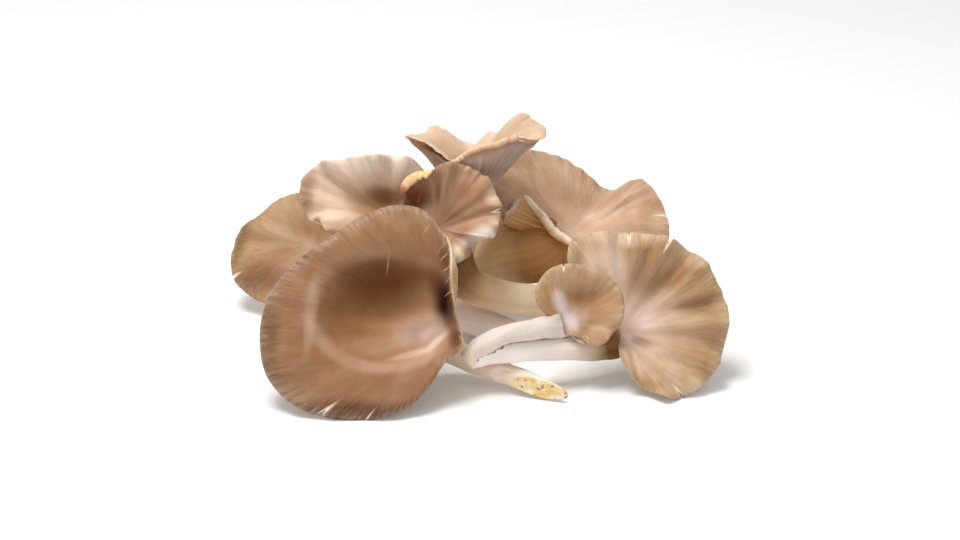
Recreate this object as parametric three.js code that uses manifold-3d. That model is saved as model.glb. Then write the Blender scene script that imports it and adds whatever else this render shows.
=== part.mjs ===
// A picked cluster of oyster mushrooms heaped on a table.
// Every mushroom is one piece of flesh: a wavy fan or funnel of a cap, gills that run
// down from its margin on to the stem, and a bent stem with a cut foot.
// Units are millimetres and degrees. +X runs to the right of the heap, +Y to its back, +Z up.
// The origin is on the table, under the middle of the heap.

import * as THREE from "three";
import { mergeVertices } from "three/addons/utils/BufferGeometryUtils.js";
import Module from "manifold-3d";

const wasm = await Module();
wasm.setup();

// ---- What all the mushrooms share ----

const flesh = {
  marginThickness: 1.5, // at the very edge of a cap
  centreThickness: 6, // of a cap over its stem
  gillDepth: 2.4, // how far a gill stands out of the flesh
  splitHalfWidth: 1.4, // of a crack in the margin
};

const heapMiddle = [-3.8, -1.7]; // of the table under the heap, from the line between the two front caps

// Where the under side of a cap turns into the stem, as shares of the way from margin to foot.
const runDown = {
  capEnds: 0.6,
  stemBegins: 0.42,
  blendFrom: 0.34,
  blendTo: 0.62,
  gillsFadeFrom: 0.56,
  gillsFadeTo: 0.74,
};

// Rings of the mesh, as shares of the way from a cap's centre to its margin, and from there to the foot.
const topRings = [0.17, 0.35, 0.52, 0.67, 0.8, 0.91, 0.98];
const underRings = [0.02, 0.1, 0.2, 0.3, 0.39, 0.47, 0.54, 0.61];
const stemRings = [0.68, 0.76, 0.84, 0.92, 0.985];

// ---- The mushrooms ----
// place: where the middle of the cap stands on the table; height: of that middle above it.
// turn: the way the cap faces, from the front towards the right; tilt: how far it leans from facing up.
// margin: the cap's outline from above, anticlockwise in the cap's own plane, as
//   [right, up, towards the eye, downward curl of the edge, how far the edge is rolled back in];
//   a negative curl turns the edge up.
// crown: how far the middle of a slope swells; folds: [height, number of waves, start].
// splits: [share of the way round the margin, depth].
// swells: [right, up, half length, half width, angle, height, steepness] of broad bulges, and of hollows
//   where the height is below 0.
// stem: [x, y, z from the table, radius] from under the cap to the foot, x and y from place.

const largeFront = {
  place: [-16, -47],
  height: 34,
  turn: 0,
  tilt: 60,
  crown: -3,
  folds: [0.6, 9, 0],
  gills: 46,
  margin: [
    [5.5, 3, 6, 0],
    [4.5, 9, 12, 0],
    [3, 17, 14, 0],
    [2.7, 25, 13, 0],
    [2.8, 31, 11, -2],
    [1.5, 37, 9, -2],
    [-1.5, 42, 7, 3],
    [-5, 48, 5, 8],
    [-13, 52, 3, 11],
    [-24, 52, 2, 13],
    [-37, 47, 1, 15],
    [-50, 38, 0, 16],
    [-64, 28, -1, 17],
    [-74, 16, -1, 18],
    [-79, 2, -1, 18],
    [-79, -12, -1, 17],
    [-75, -24, 0, 15],
    [-65, -34, 1, 13],
    [-52, -39, 1, 12],
    [-38, -41, 1, 12],
    [-24, -39, 1, 11],
    [-12, -33, 2, 9],
    [-5, -25, 2, 6],
    [-0.5, -18, 2, 3],
    [4, -13.5, 3, 0],
    [7.5, -8.5, 4, -2],
    [7.5, -3, 4.5, -1],
  ],
  splits: [
    [0.7, 9],
    [0.77, 5],
  ],
  swells: [
    [-25, 3, 31, 18, 5, -10, 4],
    [-20, 20, 24, 16, 0, -7, 2],
    [-58, 6, 6, 22, -8, 2.5, 2],
    [-10, -9.5, 13, 2.5, 30, 1.6, 2],
  ],
  stem: [
    [-6, 8, 29, 8],
    [-2, 14, 20, 7],
    [9, 15, 11.5, 5.6],
    [32, 3, 7.4, 4.9],
    [52, -11, 4.4, 4.5],
  ],
};

const leftBack = {
  place: [-81, 42],
  height: 33,
  turn: -20,
  tilt: 50,
  crown: 2,
  folds: [1.3, 7, 1],
  gills: 32,
  margin: [
    [27, -6, 0, 2],
    [21, 8, 1, 3],
    [8, 19, 2, 4],
    [-8, 23, 1, 6],
    [-19, 18, 0, 8],
    [-29, 7, 0, 8],
    [-36, -3, -1, 8],
    [-35, -14, -1, 8],
    [-31, -23, -2, 8],
    [-21, -29, -2, 7],
    [-7, -32, -3, 6],
    [8, -27, -3, 4],
    [20, -17, -2, 3],
  ],
  splits: [
    [0.6, 5],
  ],
  swells: [
    [4, 4, 14, 14, 0, -4, 2],
  ],
  stem: [
    [0, 0, 33, 8],
    [5, 6, 24, 7.5],
    [18, 11, 11, 6.5],
    [32, 16, 5.8, 6.5],
    [44, 20, 5.8, 6.3],
  ],
};

const upperLeft = {
  place: [-43, 18],
  height: 59,
  turn: -10,
  tilt: 50,
  crown: 0,
  folds: [1.6, 8, 0.5],
  gills: 36,
  margin: [
    [18, 2, 3, 1],
    [20, 14, 9, 2],
    [13, 22, 12, 4],
    [2, 24, 12, 6],
    [-10, 23, 11, 8],
    [-22, 21, 8, 10],
    [-33, 19, 4, 11],
    [-40, 13, 0, 11],
    [-41, 5, -3, 11, 1],
    [-38, -2, -2, 7, 0.5],
    [-34, -6.5, -1.5, 5.5, 0.5],
    [-30.5, -7, -1.5, 5.5, 1.5],
    [-26.5, -12, -1, 6, 2.5],
    [-21, -14, -1, 6, 3],
    [-14, -12, -3, 6, 1.5],
    [-6, -13, -6, 4],
    [6, -14, -3, 2],
    [14, -8, 0, 1],
  ],
  splits: [
    [0.38, 4],
  ],
  swells: [
    [1, 6, 10, 10, 0, -7, 2],
    [-23, -6, 11, 7, 8, 3, 2],
    [-14, 5, 11, 4, -35, -3, 2],
  ],
  stem: [
    [0, 0, 59, 9],
    [3, 3, 46, 8.5],
    [14, -2, 26, 8],
    [32, -8, 14, 7.3],
    [50, -13, 7.8, 6.6],
    [61, -16, 5.5, 6],
  ],
};

const upperMiddle = {
  place: [-18, -9],
  height: 65,
  turn: 15,
  tilt: 55,
  crown: 0,
  folds: [1.7, 9, 0],
  gills: 36,
  margin: [
    [15.5, -9.5, -1, 3],
    [22.5, -9, 2, 5],
    [25.5, -4, 3, 6],
    [28, 4, 4, 6],
    [27, 12, 4, 6],
    [23, 19, 4, 6],
    [15, 25, 4, 6],
    [4.5, 27, 5, 3],
    [0.5, 25.5, 6, 0, 1],
    [-3.5, 24, 9, -4, 4],
    [-8, 24, 10, -5, 5],
    [-12.5, 22.5, 9, -5, 5],
    [-15.5, 19, 7, -3, 4],
    [-15, 14.5, 2, 0, 1],
    [-14, 8, 0, 1],
    [-13, -1, 0, 2],
    [-7, -14, -3, 3],
    [3, -18, -3, 3],
    [12, -15, -2, 4],
  ],
  splits: [
    [0.14, 6],
    [0.04, 4],
  ],
  swells: [
    [-7, 13, 8, 8, 0, -6, 2],
    [4, 0, 9, 9, 0, -4, 2],
    [19, -6, 7, 4, -10, 3.5, 2],
    [6, -14.5, 3, 5, 0, 3.5, 2],
    [16, 1, 9, 2.5, 8, -2, 2],
  ],
  stem: [
    [0, 0, 65, 10],
    [4, 6, 49, 9.5],
    [12, 7, 34, 8],
    [28, 12, 24.5, 7.4],
    [50, 24, 15, 7.2],
    [64, 29, 6.2, 6.8],
    [76, 33, 5.7, 6.4],
  ],
};

const topSmall = {
  place: [-4, 24],
  height: 69.3,
  turn: 0,
  tilt: 15,
  crown: 20,
  folds: [0.4, 7, 0],
  gills: 32,
  margin: [
    [34, 7, 26, 2],
    [32, 10.5, 27.5, 1],
    [28, 14, 27, 1],
    [26, 17, 28.5, 1],
    [22.5, 19.5, 27.5, 1],
    [18, 20, 23.5, 0],
    [14.5, 20, 18, 0],
    [11.5, 20, 16, 0],
    [7, 21.5, 15, 0],
    [2, 19, 11, 0],
    [-3, 20, 10.5, 0],
    [-8.5, 21, 14.5, 0],
    [-14, 21, 18, 1],
    [-19, 18, 21, 1],
    [-21, 12, 21.5, 0],
    [-25, 7.5, 24, 0],
    [-30, 3.5, 27, 1],
    [-25, -1, 28, 1.5],
    [-20.5, -4, 28, 2],
    [-15, -7, 25, 2],
    [-10, -9, 21.5, 2, 0.5],
    [-6, -10, 21.5, 2, 1],
    [-1, -10, 25, 2.5, 1.5],
    [5.5, -9, 29, 3, 1.5],
    [12, -8, 29.5, 3, 1.5],
    [20, -4, 30, 3, 1.5],
    [27.5, 0, 27, 2, 1],
    [32.5, 3, 25.5, 2],
  ],
  splits: [],
  swells: [
    [-9, -5, 9, 3, -30, 2, 2],
  ],
  stem: [
    [0, 0, 70, 8],
    [-1, 2, 56, 7],
    [-5, 3, 30, 6],
    [-6, 4, -0.6, 6.5],
  ],
};

const backRight = {
  place: [42, 35],
  height: 42,
  turn: 0,
  tilt: 30,
  crown: 1,
  folds: [1, 8, 0],
  gills: 42,
  margin: [
    [45, -6, 2, 4],
    [44, 9, 4, 4],
    [40, 19, 5, 4],
    [34, 26, 6, 3],
    [26, 28, 0, 2],
    [17, 30, -5, 2],
    [6, 36, 0, 2],
    [-6, 40, 7, 2],
    [-17, 38, 12, 2],
    [-26, 31, 16, 2],
    [-34, 22, 17, 2],
    [-38.5, 13, 16, 3],
    [-37.5, 5, 12.5, 5],
    [-34, 0.5, 11.5, 5, 1],
    [-28.5, 3, 11.5, 6, 2],
    [-24.5, 10, 13, 7, 3.2],
    [-17, 4, 11, 7, 3.2],
    [-12, -1, 8.5, 7, 3],
    [-8, -5.5, 6.5, 6, 3],
    [-3, -9.5, 5.5, 5, 2],
    [2, -13, 5, 5],
    [9, -15, 8, 5],
    [23, -19, 8, 4],
    [37, -16, 6, 4],
  ],
  splits: [
    [0.05, 4],
  ],
  swells: [
    [14, 12, 12, 12, 0, -4, 2],
    [28, 6, 9, 9, 0, 3, 2],
    [-10.5, 2.5, 14, 3, -38, 1.2, 2],
  ],
  stem: [
    [0, 0, 42, 8],
    [-12, 3, 34.5, 15.5],
    [-27, 6, 30.3, 16],
    [-44, 12, 19.5, 11.5],
    [-61, 16, 8.6, 8.4],
    [-75, 19, 6.4, 7],
  ],
};

const rightFan = {
  place: [63, -32],
  height: 25,
  turn: 8,
  tilt: 55,
  crown: 2,
  folds: [2.4, 9, 0.6],
  gills: 50,
  margin: [
    [46, -3, 4, 7],
    [47, 8, 4, 7],
    [43, 19, 5, 7],
    [37, 29, 5, 7],
    [27, 37, 6, 6],
    [14, 41, 7, 5],
    [0, 43, 7, 5],
    [-13, 42, 7, 4],
    [-22, 38, 7, 4],
    [-23, 27, 6, 2],
    [-16, 15, 3, 2],
    [-8, 6, 0, 2],
    [-3, -2, -1, 2],
    [-3, -12, 0, 3],
    [1, -22, 2, 5],
    [8, -28, 3, 7],
    [19, -33, 4, 8],
    [30, -29, 4, 8],
    [39, -21, 3, 8],
    [44, -12, 3, 7],
  ],
  splits: [
    [0.3, 5],
    [0.22, 8],
    [0.83, 8],
  ],
  swells: [
    [5, 10, 12, 12, 0, -3, 2],
    [8, -6, 7, 3.5, -25, -3, 2],
    [0, -15, 3.5, 9, 15, 2.5, 2],
    [25, 22, 15, 3.2, 42, -3, 2],
    [32, 8, 15, 3, 5, -3, 2],
    [15, 33, 13, 3.5, 66, -2.4, 2],
    [-9, 28, 15, 3.5, 100, -1.6, 2],
    [34, -12, 12, 2.2, -18, -1.6, 2],
  ],
  stem: [
    [0, 0, 25, 9],
    [-5, 1, 19, 7.5],
    [-16, -2, 17.5, 6],
    [-38, -8, 19.5, 5.2],
    [-60, -11.5, 18.4, 4.7],
    [-68, -12.5, 16.2, 4.7],
  ],
};

const smallFront = {
  place: [38, -37],
  height: 31,
  turn: 0,
  tilt: 60,
  crown: 0,
  folds: [0.6, 6, 0],
  gills: 24,
  margin: [
    [24, 0, 3, 5],
    [25, 9, 3, 6],
    [22, 16, 3, 6],
    [15, 22, 4, 6],
    [6, 25, 4, 6],
    [-3, 25, 4, 6],
    [-10, 21, 4, 6],
    [-14, 13, 3, 5],
    [-12, 6, 3, 4],
    [-6, 1, 1, 1],
    [0, -5, 0, 2],
    [6, -7, 1, 3],
    [11, -11, 1, 5],
    [17, -9, 1, 4],
    [20, -5, 2, 4],
  ],
  splits: [
    [0.37, 5],
  ],
  swells: [
    [8.5, 11.5, 7, 6.5, 0, -5, 2],
    [-2, 6, 9, 3, 112, 1.8, 2],
  ],
  stem: [
    [0, 0, 31, 7],
    [-3, 1, 29, 5.5],
    [-12, -4, 30, 4.6],
    [-26, -6.5, 28.5, 4.3],
    [-37, -7.3, 23, 4.5],
    [-43, -7.5, 16.2, 4.7],
  ],
};

// ---- The shape of one mushroom ----

const radians = THREE.MathUtils.degToRad;
const mix = THREE.MathUtils.lerp;
const ramp = (from, to, x) => THREE.MathUtils.smoothstep(x, from, to);

// A Catmull-Rom curve through rows of numbers, closed or with two ends.
function along(rows, place, closed) {
  const last = rows.length - 1;
  const from = Math.floor(place);
  const f = place - from;
  const within = (k) => (closed ? (k + rows.length) % rows.length : Math.min(Math.max(k, 0), last));
  const row = (k) => rows[within(k)];
  const [a, b, c, d] = [row(from - 1), row(from), row(from + 1), row(from + 2)];
  return b.map(
    (_, k) =>
      b[k] +
      0.5 *
        f *
        (c[k] - a[k] + f * (2 * a[k] - 5 * b[k] + 4 * c[k] - d[k] + f * (3 * (b[k] - c[k]) + d[k] - a[k]))),
  );
}

// Rows spaced evenly round a cap's margin, with three of them drawn together at each split.
function marginRows(cap, columns) {
  const margin = cap.margin.map((row) => [...row, 0].slice(0, 5));
  const steps = margin.length * 40;
  const fine = Array.from({ length: steps + 1 }, (_, k) => along(margin, (k / steps) * margin.length, true));
  const travelled = [0];
  for (let k = 1; k <= steps; k++)
    travelled.push(travelled[k - 1] + Math.hypot(...[0, 1, 2].map((n) => fine[k][n] - fine[k - 1][n])));
  const length = travelled[steps];
  const shares = Array.from({ length: columns }, (_, i) => i / columns);
  const cuts = new Array(columns).fill(0);
  for (const [share, depth] of cap.splits) {
    const i = Math.round(share * columns);
    for (const side of [-1, 0, 1])
      shares[(i + side + columns) % columns] = share + (side * flesh.splitHalfWidth) / length;
    cuts[i % columns] = depth;
  }
  let k = 0;
  return shares.map((share, i) => {
    const wanted = (share < 0 ? share + 1 : share) * length;
    while (k > 0 && travelled[k] > wanted) k--;
    while (travelled[k + 1] < wanted) k++;
    const f = (wanted - travelled[k]) / (travelled[k + 1] - travelled[k]);
    const [x, y, z, curl, roll] = fine[k].map((v, n) => mix(v, fine[k + 1][n], f));
    return { x, y, z, curl, roll, share, reach: Math.hypot(x, y), cut: cuts[i] };
  });
}

const quartic = (p, t) => {
  const s = 1 - t;
  const weights = [s ** 4, 4 * s ** 3 * t, 6 * s * s * t * t, 4 * s * t ** 3, t ** 4];
  return weights.reduce((sum, weight, k) => sum + weight * p[k], 0);
};

// A point of the cap's upper skin, t of the way from the centre to the margin, in the cap's own plane.
function skin(cap, widest, row, t) {
  const { reach, curl, roll } = row;
  const crown = (cap.crown * reach) / widest;
  const shoulder = 0.88 * reach + 0.6 * Math.abs(curl) + 1.2 * roll;
  const r = quartic([0, 0.25 * reach, 0.5 * reach, shoulder, reach - roll], t);
  const h = quartic([0, 0, crown + 0.35 * row.z, row.z + curl, row.z], t);
  const [height, waves, start] = cap.folds;
  const turn = 2 * Math.PI * row.share;
  const shortWaves = Math.round(1.6 * waves);
  const wave = Math.sin(waves * turn + start) + 0.6 * Math.sin(shortWaves * turn + 2 * start);
  const x = (row.x / reach) * r;
  const y = (row.y / reach) * r;
  const swell = ([right, up, long, short, angle, lift, power]) => {
    const [c, s] = [Math.cos(radians(angle)), Math.sin(radians(angle))];
    const [dx, dy] = [x - right, y - up];
    return lift * Math.exp(-(Math.hypot((dx * c + dy * s) / long, (dy * c - dx * s) / short) ** power));
  };
  const swollen = cap.swells.map(swell).reduce((a, b) => a + b, 0);
  return new THREE.Vector3(x, y, h + height * wave * t ** 2 + swollen);
}

// The stem's rings: a circle at each share of the way down, carried along without twisting.
function stemCircles(cap, frame, shares) {
  const normal = new THREE.Vector3(0, 0, 1).applyMatrix4(frame);
  let across = new THREE.Vector3(1, 0, 0).applyMatrix4(frame);
  let over = new THREE.Vector3(0, 1, 0).applyMatrix4(frame);
  let heading = normal.clone().negate();
  const spans = cap.stem.length - 1;
  const at = (u) => along(cap.stem, Math.min(u, 0.9999) * spans, false);
  return shares.map((u) => {
    const [x, y, z, radius] = at(u);
    const ahead = new THREE.Vector3(...at(u + 0.02)).sub(new THREE.Vector3(...at(Math.max(u - 0.02, 0))));
    const next = ahead.normalize();
    const swing = new THREE.Quaternion().setFromUnitVectors(heading, next);
    across = across.clone().applyQuaternion(swing);
    over = over.clone().applyQuaternion(swing);
    heading = next;
    return { centre: new THREE.Vector3(x, y, z), radius, across, over };
  });
}

// A mushroom as one closed mesh: a lathe gives rings and columns, and each vertex is then moved.
function mushroom(cap) {
  const columns = 2 * cap.gills;
  const rows = marginRows(cap, columns);
  const widest = Math.max(...rows.map((row) => row.reach));
  const frame = new THREE.Matrix4().makeRotationFromEuler(
    new THREE.Euler(radians(cap.tilt), 0, radians(cap.turn), "ZXY"),
  );
  const middle = new THREE.Vector3(0, 0, cap.height);

  // The angle at which each column reaches the stem: half by the direction of its margin, half evenly spread.
  const angles = [Math.atan2(rows[0].y, rows[0].x)];
  const steps = rows.map((row, i) => {
    const next = rows[(i + 1) % columns];
    const step = Math.atan2(row.x * next.y - row.y * next.x, row.x * next.x + row.y * next.y);
    return Math.max(step, 0.004) + Math.PI / columns;
  });
  const round = steps.reduce((sum, step) => sum + step, 0);
  for (let i = 1; i < columns; i++) angles.push(angles[i - 1] + (steps[i - 1] / round) * 2 * Math.PI);

  const upper = (i, t) => {
    const row = rows[(i + columns) % columns];
    return skin(cap, widest, row, t * (1 - row.cut / row.reach));
  };
  const facing = (i, t) => {
    const outward = upper(i, Math.min(t + 0.02, 1)).sub(upper(i, Math.max(t - 0.02, 0)));
    const sideways = upper(i + 1, t).sub(upper(i - 1, t));
    return outward.cross(sideways).normalize();
  };

  const stemShare = (q) => Math.max(0, (q - runDown.stemBegins) / (1 - runDown.stemBegins)) ** 1.3;
  const downRings = [...underRings, ...stemRings, 1];
  const circles = stemCircles(cap, frame, downRings.map(stemShare));
  const under = (i, k) => {
    const q = downRings[k];
    const t = Math.max(0.1, 1 - (0.9 * q) / runDown.capEnds);
    const long = Math.min(1, rows[i].reach / 36);
    const thick = flesh.centreThickness * (0.5 + 0.5 * long);
    const thickness = mix(thick, flesh.marginThickness, Math.min(1, t) ** 0.7);
    const shortSide = long * (1 - 0.7 * Math.min(1, rows[i].roll / 4));
    const fade = ramp(0, 0.14, q) * (1 - ramp(runDown.gillsFadeFrom, runDown.gillsFadeTo, q));
    const gill = i % 2 ? flesh.gillDepth * shortSide * fade : 0;
    const roof = upper(i, t).addScaledVector(facing(i, Math.max(t, 0.15)), -(thickness + gill));
    const fromCap = roof.applyMatrix4(frame).add(middle);
    const { centre, radius, across, over } = circles[k];
    const wide = radius * (q === 1 ? 0.86 : 1) + gill * 0.5;
    const fromStem = centre
      .clone()
      .addScaledVector(across, wide * Math.cos(angles[i]))
      .addScaledVector(over, wide * Math.sin(angles[i]));
    return fromCap.lerp(fromStem, ramp(runDown.blendFrom, runDown.blendTo, q));
  };

  // Fewer columns where there are no gills: some share their place with a neighbour.
  const every = (i, step) => Math.floor(i / step) * step;
  const rings = [
    () => upper(0, 0).applyMatrix4(frame).add(middle),
    ...topRings.map((t, k) => (i) => {
      const column = every(i, k === 0 ? 4 : k < topRings.length - 2 ? 2 : 1);
      return upper(column, t).applyMatrix4(frame).add(middle);
    }),
    (i) => {
      const edge = upper(i, 1).addScaledVector(facing(i, 1), -flesh.marginThickness / 2);
      return edge.applyMatrix4(frame).add(middle);
    },
    ...downRings.map((q, k) => (i) => under(every(i, q < 0.6 ? 1 : q < 0.7 ? 2 : 4), k)),
    () => circles[circles.length - 1].centre.clone(),
  ];

  const line = rings.map((_, k) => new THREE.Vector2(1, rings.length - k));
  const geometry = new THREE.LatheGeometry(line, columns);
  const position = geometry.getAttribute("position");
  for (let i = 0; i <= columns; i++)
    rings.forEach((ring, k) => {
      const p = ring(i % columns);
      position.setXYZ(i * rings.length + k, p.x, p.y, Math.max(p.z, 0));
    });
  return closed(geometry);
}

// The mesh with shared vertices, and without the faces that have shrunk to a line.
function closed(geometry) {
  geometry.deleteAttribute("normal");
  geometry.deleteAttribute("uv");
  const merged = mergeVertices(geometry, 1e-4);
  const index = merged.index.array;
  const kept = [];
  for (let n = 0; n < index.length; n += 3) {
    const [a, b, c] = [index[n], index[n + 1], index[n + 2]];
    if (a !== b && b !== c && c !== a) kept.push(a, c, b);
  }
  merged.setIndex(kept);
  return merged;
}

// ---- Two mushrooms that grew from one foot ----

const solid = (geometry) =>
  new wasm.Manifold(
    new wasm.Mesh({
      numProp: 3,
      vertProperties: geometry.getAttribute("position").array,
      triVerts: new Uint32Array(geometry.index.array),
    }),
  );

function joined(first, second, offset) {
  second.translate(...offset, 0);
  const mesh = solid(first).add(solid(second)).getMesh();
  return new THREE.BufferGeometry()
    .setAttribute("position", new THREE.BufferAttribute(mesh.vertProperties, 3))
    .setIndex(new THREE.BufferAttribute(mesh.triVerts, 1));
}

// ---- The cluster ----

const cluster = new THREE.Group();
cluster.name = "oyster_mushroom_cluster";

function add(name, geometry, place, colour) {
  const mesh = new THREE.Mesh(geometry, new THREE.MeshStandardMaterial({ color: colour, roughness: 0.65 }));
  mesh.name = name;
  mesh.position.set(place[0] - heapMiddle[0], place[1] - heapMiddle[1], 0);
  cluster.add(mesh);
}

add("large_front_mushroom", mushroom(largeFront), largeFront.place, 0x9b7350);
add("left_back_mushroom", mushroom(leftBack), leftBack.place, 0xa5835f);
add("upper_left_mushroom", mushroom(upperLeft), upperLeft.place, 0xb49a7c);
add("upper_middle_mushroom", mushroom(upperMiddle), upperMiddle.place, 0xa98766);
add("top_small_mushroom", mushroom(topSmall), topSmall.place, 0xc9a78b);
add("back_right_mushroom", mushroom(backRight), backRight.place, 0xb78f72);
const between = [smallFront.place[0] - rightFan.place[0], smallFront.place[1] - rightFan.place[1]];
const twin = joined(mushroom(rightFan), mushroom(smallFront), between);
add("right_twin_mushrooms", twin, rightFan.place, 0xbd9c7c);

export default cluster;
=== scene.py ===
# Oyster mushroom cluster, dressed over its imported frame.
# Lengths are in millimetres until the meshes are filled, and then in metres.
import bpy
import bmesh
import math
import numpy as np
from mathutils import Matrix, Vector


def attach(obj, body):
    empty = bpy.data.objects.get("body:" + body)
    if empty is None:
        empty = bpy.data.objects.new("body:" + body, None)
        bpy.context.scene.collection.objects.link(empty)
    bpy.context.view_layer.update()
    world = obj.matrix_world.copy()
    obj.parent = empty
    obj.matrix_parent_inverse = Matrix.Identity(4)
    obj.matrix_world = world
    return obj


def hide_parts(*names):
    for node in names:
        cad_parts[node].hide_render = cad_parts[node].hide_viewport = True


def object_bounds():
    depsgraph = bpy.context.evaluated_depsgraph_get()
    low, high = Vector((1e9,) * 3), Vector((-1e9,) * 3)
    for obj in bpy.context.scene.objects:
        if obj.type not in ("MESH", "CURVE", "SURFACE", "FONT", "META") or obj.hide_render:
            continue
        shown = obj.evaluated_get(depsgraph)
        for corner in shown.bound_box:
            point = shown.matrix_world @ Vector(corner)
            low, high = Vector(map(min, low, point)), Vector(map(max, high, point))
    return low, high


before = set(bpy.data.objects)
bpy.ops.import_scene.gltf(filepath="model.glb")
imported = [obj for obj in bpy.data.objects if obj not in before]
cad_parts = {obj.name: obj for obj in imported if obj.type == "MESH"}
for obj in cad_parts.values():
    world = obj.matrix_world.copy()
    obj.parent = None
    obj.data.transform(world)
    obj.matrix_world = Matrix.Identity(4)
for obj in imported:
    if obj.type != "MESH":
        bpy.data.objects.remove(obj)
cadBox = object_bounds()
boxLow, boxHigh = [np.array(corner[:]) * 1000 for corner in cadBox]
print("frame loaded:", ", ".join(sorted(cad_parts)))

heapMiddle = (-3.8, -1.7)  # from the line between the two front caps

flesh = {
    "marginThickness": 1.3,
    "centreThickness": 6.0,
    "gillDepth": 2.3,
    "capEnds": 0.6,  # shares of the way from margin to foot
    "stemBegins": 0.42,
    "blendFrom": 0.34,
    "blendTo": 0.62,
    "gillsFadeFrom": 0.56,
    "gillsFadeTo": 0.76,
    "fullSizeReach": 36,  # a slope shorter than this has thinner flesh and lower gills
    "endRounding": 0.07,  # how much narrower a stem is at its cut
}
slope = {  # how the skin runs from the centre of a cap to its margin
    "splitsBegin": 0.55,
    "shoulder": 0.88,
    "curlBulge": 0.6,
    "rollBulge": 1.2,
    "lean": 0.35,
    "unevenness": 0.35,
    "fullFrillReach": 30,  # a shorter slope has less frill
}
rough = {"grain": 0.03, "lumps": 0.25, "cut": 0.22}  # heights on a stem and on its cut foot
stepsPerPoint = 60  # along the margin, between two of its given points


def ramp(low, high, x):
    f = np.clip((x - low) / (high - low), 0, 1)
    return f * f * (3 - 2 * f)


def roundDistance(share, centre):
    return np.abs((share - centre + 0.5) % 1 - 0.5)


def wobble(share, low, high, seed, drift=0.0):
    # seamless noise round the margin, made of sines with whole numbers of waves
    rng = np.random.RandomState(seed)
    total = 0
    weight = 0
    for waves in range(low, high + 1, max(1, (high - low) // 12)):
        size = rng.uniform(0.5, 1)
        start = 2 * math.pi * rng.uniform()
        total = total + size * np.sin(2 * math.pi * waves * share + start + drift * rng.uniform(-9, 9))
        weight += size * size
    return total / math.sqrt(weight)


def catmullRom(rows, place, isClosed):
    rows = np.asarray(rows, float)
    last = len(rows) - 1
    start = np.floor(place).astype(int)
    f = (place - start)[:, None]

    def row(k):
        return rows[k % len(rows)] if isClosed else rows[np.clip(k, 0, last)]

    a, b, c, d = row(start - 1), row(start), row(start + 1), row(start + 2)
    return b + 0.5 * f * (c - a + f * (2 * a - 5 * b + 4 * c - d + f * (3 * (b - c) + d - a)))


def marginRows(cap):
    columns = cap["columns"]
    steps = len(cap["margin"]) * stepsPerPoint
    margin = [(*row, 0)[:5] for row in cap["margin"]]  # a row without a roll has a roll of 0
    line = catmullRom(margin, np.arange(steps + 1) / stepsPerPoint, True)
    travelled = np.concatenate([[0], np.cumsum(np.linalg.norm(np.diff(line[:, :3], axis=0), axis=1))])
    share = np.arange(columns) / columns
    x, y, z, curl, roll = [np.interp(share * travelled[-1], travelled, line[:, k]) for k in range(5)]
    reach = np.hypot(x, y)
    cut = np.zeros(columns)
    for centre, depth, halfWidth in cap["splits"]:
        away = roundDistance(share, centre) * travelled[-1]
        cut = np.maximum(cut, depth * np.clip(1 - away / halfWidth, 0, 1) ** 0.7)
    fine = 0.6 + 0.4 * wobble(share, 60, 150, cap["seed"])
    coarse = np.abs(wobble(share, 20, 50, cap["seed"] + 1))
    cut = cut + cap["ragged"] * (fine + coarse)
    return {"x": x, "y": y, "z": z, "curl": curl, "roll": roll, "reach": reach, "share": share, "cut": cut}


def quartic(p, t):
    s = 1 - t
    return p[0] * s**4 + 4 * p[1] * s**3 * t + 6 * p[2] * s * s * t * t + 4 * p[3] * s * t**3 + p[4] * t**4


def skinPoints(cap, rows, t):
    # t is a column of shares from the centre to the margin, one for each ring
    t = np.asarray(t, float).reshape(-1, 1)
    reach, share, curl, roll = rows["reach"], rows["share"], rows["curl"], rows["roll"]
    whole = t
    t = t * (1 - rows["cut"] / reach * ramp(slope["splitsBegin"], 1, t))
    crown = cap["crown"] * reach / reach.max()
    shoulder = slope["shoulder"] * reach + slope["curlBulge"] * np.abs(curl) + slope["rollBulge"] * roll
    radius = quartic([0, 0.25 * reach, 0.5 * reach, shoulder, reach - roll], t)
    height = quartic([0, 0, crown + slope["lean"] * rows["z"], rows["z"] + curl, rows["z"]], t)
    size, waves, start = cap["folds"]
    turn = 2 * math.pi * share
    wave = np.sin(waves * turn + start) + 0.6 * np.sin(round(1.6 * waves) * turn + 2 * start)
    height = height + size * wave * t**2
    small = np.clip(reach / slope["fullFrillReach"], 0.3, 1)
    frill = wobble(share, 14, 40, cap["seed"] + 2) * whole**7
    uneven = wobble(share, 3, 12, cap["seed"] + 3, whole * 1.2) * whole**1.5
    ribs = wobble(share, 70, 170, cap["seed"] + 4, whole * 0.15) * ramp(0.2, 0.9, whole)
    height = height + small * (cap["frill"] * frill + slope["unevenness"] * uneven + cap["ribs"] * ribs)
    x, y = rows["x"] / reach * radius, rows["y"] / reach * radius
    for right, up, long, short, angle, lift, power in cap["swells"]:
        c, s = math.cos(math.radians(angle)), math.sin(math.radians(angle))
        dx, dy = x - right, y - up
        away = np.hypot((dx * c + dy * s) / long, (dy * c - dx * s) / short)
        height = height + lift * np.exp(-(away**power))
    return np.stack([x, y, height], -1)


def facingAt(cap, rows, t):
    t = np.asarray(t, float)
    near = max(1, cap["columns"] // 90)
    farther = skinPoints(cap, rows, np.minimum(t + 0.02, 1))
    nearer = skinPoints(cap, rows, np.maximum(t - 0.02, 0))
    outward = farther - nearer
    here = skinPoints(cap, rows, t)
    sideways = np.roll(here, -near, axis=1) - np.roll(here, near, axis=1)
    facing = np.cross(outward, sideways)
    return here, facing / np.maximum(np.linalg.norm(facing, axis=-1, keepdims=True), 1e-9)


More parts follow.
